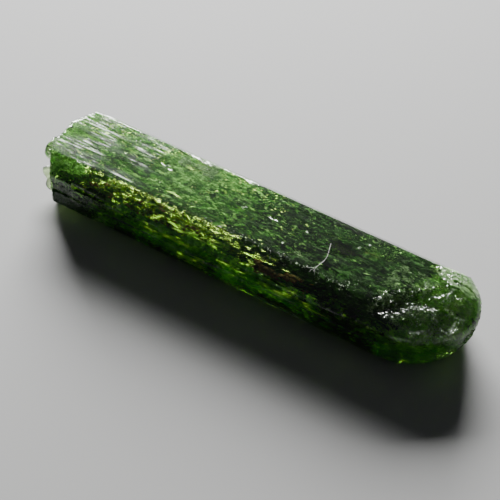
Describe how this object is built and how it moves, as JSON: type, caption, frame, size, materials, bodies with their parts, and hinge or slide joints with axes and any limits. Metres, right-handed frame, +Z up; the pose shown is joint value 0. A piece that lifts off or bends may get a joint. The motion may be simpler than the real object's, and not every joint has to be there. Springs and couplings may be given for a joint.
{
  "type": "diopside crystal",
  "caption": "Long eight-sided prism of clear deep green mineral, broken at both ends, lying on a flat face.",
  "frame": {"origin": "middle of the bounding box, at the base that the crystal lies on", "axes": "+X along the crystal's length towards its chipped rounded end, +Z up out of the face that it lies on"},
  "size_m": [0.024, 0.0052, 0.0033],
  "materials": {
    "green_crystal": "clear deep green mineral with a vitreous shine, fine striations along its length and frosted, chipped ends"
  },
  "bodies": {
    "root": {"diopside_crystal": "green_crystal"}
  },
  "joints": []
}
